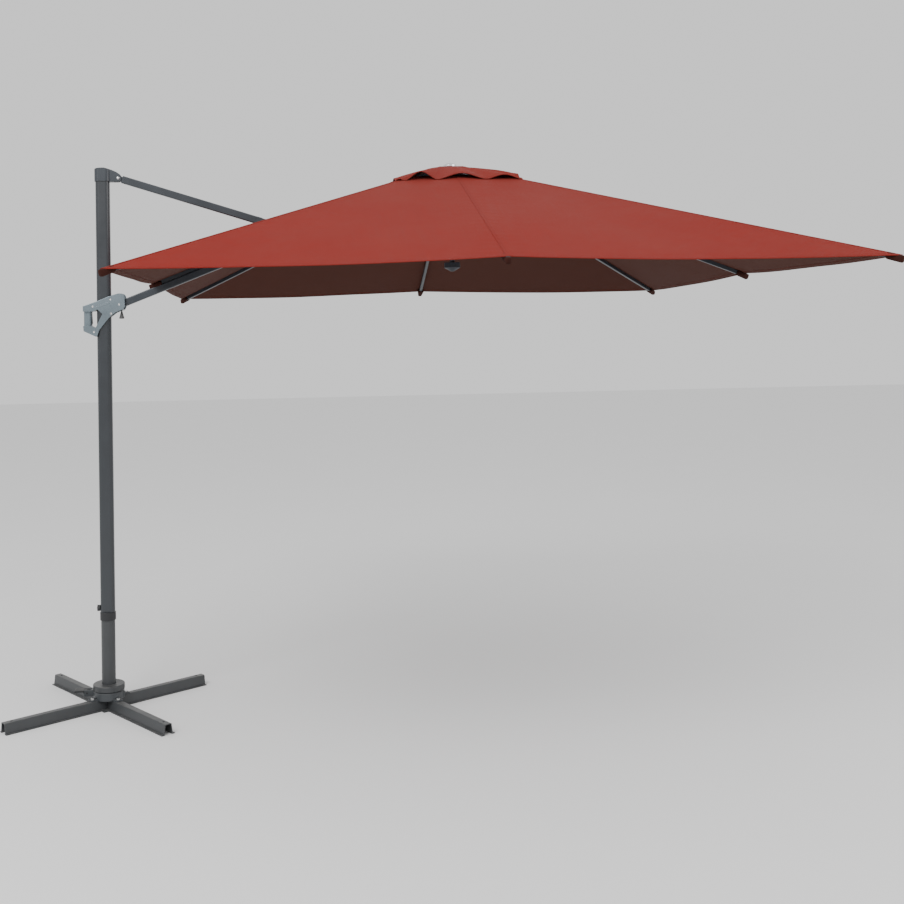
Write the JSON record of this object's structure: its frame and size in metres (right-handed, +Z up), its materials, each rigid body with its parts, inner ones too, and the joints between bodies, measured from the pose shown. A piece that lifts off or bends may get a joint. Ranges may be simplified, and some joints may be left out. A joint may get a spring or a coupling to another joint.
{
  "type": "cantilever patio umbrella",
  "caption": "Square offset patio umbrella with a vented fabric canopy on a sliding folding arm and a swivelling mast on a flat cross base.",
  "frame": {"origin": "on the ground under the mast, at the middle of the cross base", "axes": "+Z up, +X from the mast towards the canopy, +Y the far side"},
  "size_m": [3.7043, 3.0226, 2.658],
  "materials": {
    "frame": "satin",
    "mast_steel": "satin",
    "sleeve_steel": "satin",
    "base_steel": "satin",
    "housing_metal": "satin",
    "dark_plastic": "matte",
    "pole_metal": "satin",
    "cap_plastic": "satin",
    "bracket_metal": "satin",
    "fastener": "satin",
    "finial_metal": "satin",
    "canopy_fabric": "matte"
  },
  "bodies": {
    "base": {"cross_beam_over": "base_steel", "cross_beam_under": "base_steel", "centre_plate": "base_steel", "swivel_housing": "housing_metal", "base_bolts": "fastener"},
    "pedal": {"foot_pedal": "dark_plastic"},
    "mast": {"mast_tube": "mast_steel", "mast_sleeve": "sleeve_steel", "mast_collar": "dark_plastic", "lower_tube": "base_steel", "turret": "base_steel", "spindle": "sleeve_steel", "mast_head": "frame", "head_pin": "fastener"},
    "mast_lock": {"lock_knob": "dark_plastic"},
    "strut": {"strut_tube": "frame", "strut_head": "frame", "strut_fork": "frame", "arm_pin": "fastener"},
    "boom": {"boom_tube": "frame", "boom_root": "frame", "boom_yoke": "frame", "boom_saddle": "frame", "rib_rail": "frame", "hub_pin": "fastener"},
    "slider": {"slider_shell_front": "bracket_metal", "slider_shell_back": "bracket_metal", "slider_liner": "dark_plastic", "slider_screws": "fastener", "handle_grip": "bracket_metal", "slider_bridge": "bracket_metal", "root_pin": "fastener"},
    "trigger": {"trigger": "dark_plastic"},
    "brake": {"brake_pin": "fastener"},
    "arm_lock": {"arm_knob": "dark_plastic"},
    "crown": {"hub": "frame", "hub_pins": "fastener", "centre_pole": "pole_metal", "pole_cap": "cap_plastic", "canopy": "canopy_fabric", "vent_cap": "canopy_fabric", "finial": "finial_metal"},
    "runner": {"runner": "frame"},
    "rib_far": {"rib_far": "frame"},
    "stretcher_far": {"stretcher_far": "frame"},
    "rib_outer": {"rib_outer": "frame"},
    "stretcher_outer": {"stretcher_outer": "frame"},
    "rib_near": {"rib_near": "frame"},
    "stretcher_near": {"stretcher_near": "frame"},
    "rib_far_outer": {"rib_far_outer": "frame"},
    "stretcher_far_outer": {"stretcher_far_outer": "frame"},
    "rib_far_inner": {"rib_far_inner": "frame"},
    "stretcher_far_inner": {"stretcher_far_inner": "frame"},
    "rib_near_inner": {"rib_near_inner": "frame"},
    "stretcher_near_inner": {"stretcher_near_inner": "frame"},
    "rib_near_outer": {"rib_near_outer": "frame"},
    "stretcher_near_outer": {"stretcher_near_outer": "frame"}
  },
  "joints": [
    {"name": "mast_swivel", "type": "hinge", "parent": "base", "child": "mast", "pos_m": [0, 0, 0], "axis": [0, 0, 1], "continuous": true},
    {"name": "pedal_press", "type": "hinge", "parent": "base", "child": "pedal", "pos_m": [-0.104, 0, 0.078], "axis": [0, 1, 0], "range_deg": [-8, 0], "stiffness_Nm_per_rad": 6, "springref_deg": 14.32},
    {"name": "mast_lock_turn", "type": "hinge", "parent": "mast", "child": "mast_lock", "pos_m": [-0.044, 0, 0.485], "axis": [-1, 0, 0], "continuous": true},
    {"name": "arm_fold", "type": "hinge", "parent": "mast", "child": "strut", "pos_m": [0.079, 0, 2.605], "axis": [0, 1, 0], "range_deg": [0, 54], "deforming": ["canopy", "vent_cap"]},
    {"name": "boom_fold", "type": "hinge", "parent": "strut", "child": "boom", "pos_m": [0.97306, 0, 2.28988], "axis": [0, 1, 0], "range_deg": [-108, 0]},
    {"name": "slider_travel", "type": "hinge", "parent": "boom", "child": "slider", "pos_m": [0.079, 0, 1.97475], "axis": [0, 1, 0], "range_deg": [0, 54]},
    {"name": "crown_turn", "type": "hinge", "parent": "boom", "child": "crown", "pos_m": [1.667, 0, 2.58433], "axis": [0, 1, 0], "range_deg": [0, 69]},
    {"name": "trigger_pull", "type": "hinge", "parent": "slider", "child": "trigger", "pos_m": [-0.071, 0, 1.938], "axis": [0, 1, 0], "range_deg": [0, 5], "stiffness_Nm_per_rad": 2, "springref_deg": -5.73},
    {"name": "brake_slide", "type": "slide", "parent": "slider", "child": "brake", "axis": [-1, 0, 0], "range_m": [0, 0.004]},
    {"name": "arm_lock_pull", "type": "slide", "parent": "slider", "child": "arm_lock", "axis": [0, 0, -1], "range_m": [0, 0.008], "stiffness_N_per_m": 400, "springref_m": -0.005},
    {"name": "rib_far_fold", "type": "hinge", "parent": "crown", "child": "rib_far", "pos_m": [1.742, 0.055, 2.622], "axis": [-1, 0, 0], "range_deg": [0, 66]},
    {"name": "stretcher_far_fold", "type": "hinge", "parent": "rib_far", "child": "stretcher_far", "pos_m": [1.742, 0.24432, 2.53112], "axis": [-1, 0, 0], "range_deg": [-132, 0]},
    {"name": "rib_outer_fold", "type": "hinge", "parent": "crown", "child": "rib_outer", "pos_m": [1.797, 0, 2.622], "axis": [0, 1, 0], "range_deg": [0, 66]},
    {"name": "stretcher_outer_fold", "type": "hinge", "parent": "rib_outer", "child": "stretcher_outer", "pos_m": [1.98632, 0, 2.53112], "axis": [0, 1, 0], "range_deg": [-132, 0]},
    {"name": "rib_near_fold", "type": "hinge", "parent": "crown", "child": "rib_near", "pos_m": [1.742, -0.055, 2.622], "axis": [1, 0, 0], "range_deg": [0, 66]},
    {"name": "stretcher_near_fold", "type": "hinge", "parent": "rib_near", "child": "stretcher_near", "pos_m": [1.742, -0.24432, 2.53112], "axis": [1, 0, 0], "range_deg": [-132, 0]},
    {"name": "rib_far_outer_fold", "type": "hinge", "parent": "crown", "child": "rib_far_outer", "pos_m": [1.78089, 0.03889, 2.622], "axis": [-0.7071, 0.7071, 0], "range_deg": [0, 66]},
    {"name": "stretcher_far_outer_fold", "type": "hinge", "parent": "rib_far_outer", "child": "stretcher_far_outer", "pos_m": [1.91476, 0.17276, 2.53112], "axis": [-0.7071, 0.7071, 0], "range_deg": [-132, 0]},
    {"name": "rib_far_inner_fold", "type": "hinge", "parent": "crown", "child": "rib_far_inner", "pos_m": [1.70311, 0.03889, 2.622], "axis": [-0.7071, -0.7071, 0], "range_deg": [0, 66]},
    {"name": "stretcher_far_inner_fold", "type": "hinge", "parent": "rib_far_inner", "child": "stretcher_far_inner", "pos_m": [1.56924, 0.17276, 2.53112], "axis": [-0.7071, -0.7071, 0], "range_deg": [-132, 0]},
    {"name": "rib_near_inner_fold", "type": "hinge", "parent": "crown", "child": "rib_near_inner", "pos_m": [1.70311, -0.03889, 2.622], "axis": [0.7071, -0.7071, 0], "range_deg": [0, 66]},
    {"name": "stretcher_near_inner_fold", "type": "hinge", "parent": "rib_near_inner", "child": "stretcher_near_inner", "pos_m": [1.56924, -0.17276, 2.53112], "axis": [0.7071, -0.7071, 0], "range_deg": [-132, 0]},
    {"name": "rib_near_outer_fold", "type": "hinge", "parent": "crown", "child": "rib_near_outer", "pos_m": [1.78089, -0.03889, 2.622], "axis": [0.7071, 0.7071, 0], "range_deg": [0, 66]},
    {"name": "stretcher_near_outer_fold", "type": "hinge", "parent": "rib_near_outer", "child": "stretcher_near_outer", "pos_m": [1.91476, -0.17276, 2.53112], "axis": [0.7071, 0.7071, 0], "range_deg": [-132, 0]},
    {"name": "runner_travel", "type": "hinge", "parent": "stretcher_outer", "child": "runner", "pos_m": [1.797, 0, 2.44024], "axis": [0, 1, 0], "range_deg": [0, 66]}
  ],
  "couplings": [
    {"joint": "boom_fold", "follows": "arm_fold", "ratio": -2},
    {"joint": "slider_travel", "follows": "arm_fold", "ratio": 1},
    {"joint": "crown_turn", "follows": "arm_fold", "ratio": 1.2778},
    {"joint": "brake_slide", "follows": "trigger_pull", "m_per_rad": 0.045837},
    {"joint": "rib_far_fold", "follows": "arm_fold", "ratio": 1.2222},
    {"joint": "stretcher_far_fold", "follows": "arm_fold", "ratio": -2.4444},
    {"joint": "rib_outer_fold", "follows": "arm_fold", "ratio": 1.2222},
    {"joint": "stretcher_outer_fold", "follows": "arm_fold", "ratio": -2.4444},
    {"joint": "rib_near_fold", "follows": "arm_fold", "ratio": 1.2222},
    {"joint": "stretcher_near_fold", "follows": "arm_fold", "ratio": -2.4444},
    {"joint": "rib_far_outer_fold", "follows": "arm_fold", "ratio": 1.2222},
    {"joint": "stretcher_far_outer_fold", "follows": "arm_fold", "ratio": -2.4444},
    {"joint": "rib_far_inner_fold", "follows": "arm_fold", "ratio": 1.2222},
    {"joint": "stretcher_far_inner_fold", "follows": "arm_fold", "ratio": -2.4444},
    {"joint": "rib_near_inner_fold", "follows": "arm_fold", "ratio": 1.2222},
    {"joint": "stretcher_near_inner_fold", "follows": "arm_fold", "ratio": -2.4444},
    {"joint": "rib_near_outer_fold", "follows": "arm_fold", "ratio": 1.2222},
    {"joint": "stretcher_near_outer_fold", "follows": "arm_fold", "ratio": -2.4444},
    {"joint": "runner_travel", "follows": "arm_fold", "ratio": 1.2222}
  ]
}
